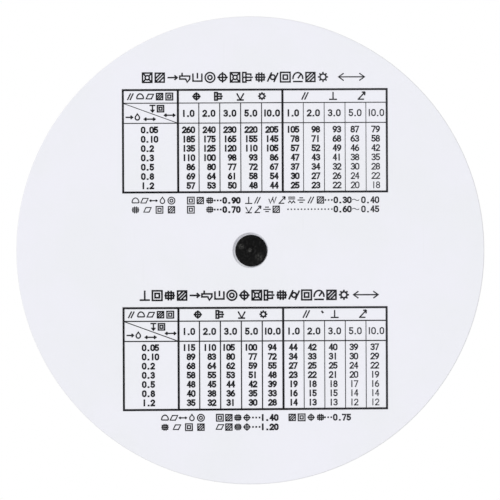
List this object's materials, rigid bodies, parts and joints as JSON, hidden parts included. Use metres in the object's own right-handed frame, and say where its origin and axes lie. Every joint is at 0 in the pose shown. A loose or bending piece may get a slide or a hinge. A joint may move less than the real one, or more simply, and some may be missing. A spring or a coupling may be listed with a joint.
{
  "type": "circular slide rule",
  "caption": "Circular slide rule: a white base disc with a fixed outer scale ring, a turning inner scale disc and a clear cursor arm on a central snap pivot.",
  "frame": {"origin": "middle of the back face, which the rule lies on", "axes": "+Z out of the dial face along the pivot, +Y to the index mark at the top of the fixed scales"},
  "size_m": [0.11, 0.11, 0.0054],
  "materials": {
    "white_sheet": "satin calendered sheet",
    "bond_film": "dull adhesive film",
    "washer_film": "smooth translucent film",
    "clear_acrylic": "polished clear",
    "hairline_red": "filled line",
    "spring_steel": "bright rolled strip",
    "bush_plastic": "natural moulded",
    "black_moulding": "satin moulded",
    "black_ink": "printed ink",
    "red_ink": "printed ink"
  },
  "bodies": {
    "base": {"back_disc": "white_sheet", "ring_bond_film": "bond_film", "outer_scale_ring": "white_sheet", "disc_slip_washer": "washer_film", "cursor_slip_washer": "washer_film", "thrust_washer": "washer_film", "wave_spring": "spring_steel", "pivot_bush": "bush_plastic", "pivot_stud": "black_moulding", "pivot_cap": "black_moulding"},
    "turning_disc": {"inner_scale_disc": "white_sheet"},
    "cursor_arm": {"cursor": "clear_acrylic", "cursor_hairline": "hairline_red"}
  },
  "joints": [
    {"name": "disc_turn", "type": "hinge", "parent": "base", "child": "turning_disc", "pos_m": [0, 0, 0.00223], "axis": [0, 0, 1], "continuous": true},
    {"name": "cursor_turn", "type": "hinge", "parent": "base", "child": "cursor_arm", "pos_m": [0, 0, 0.00344], "axis": [0, 0, 1], "continuous": true}
  ]
}
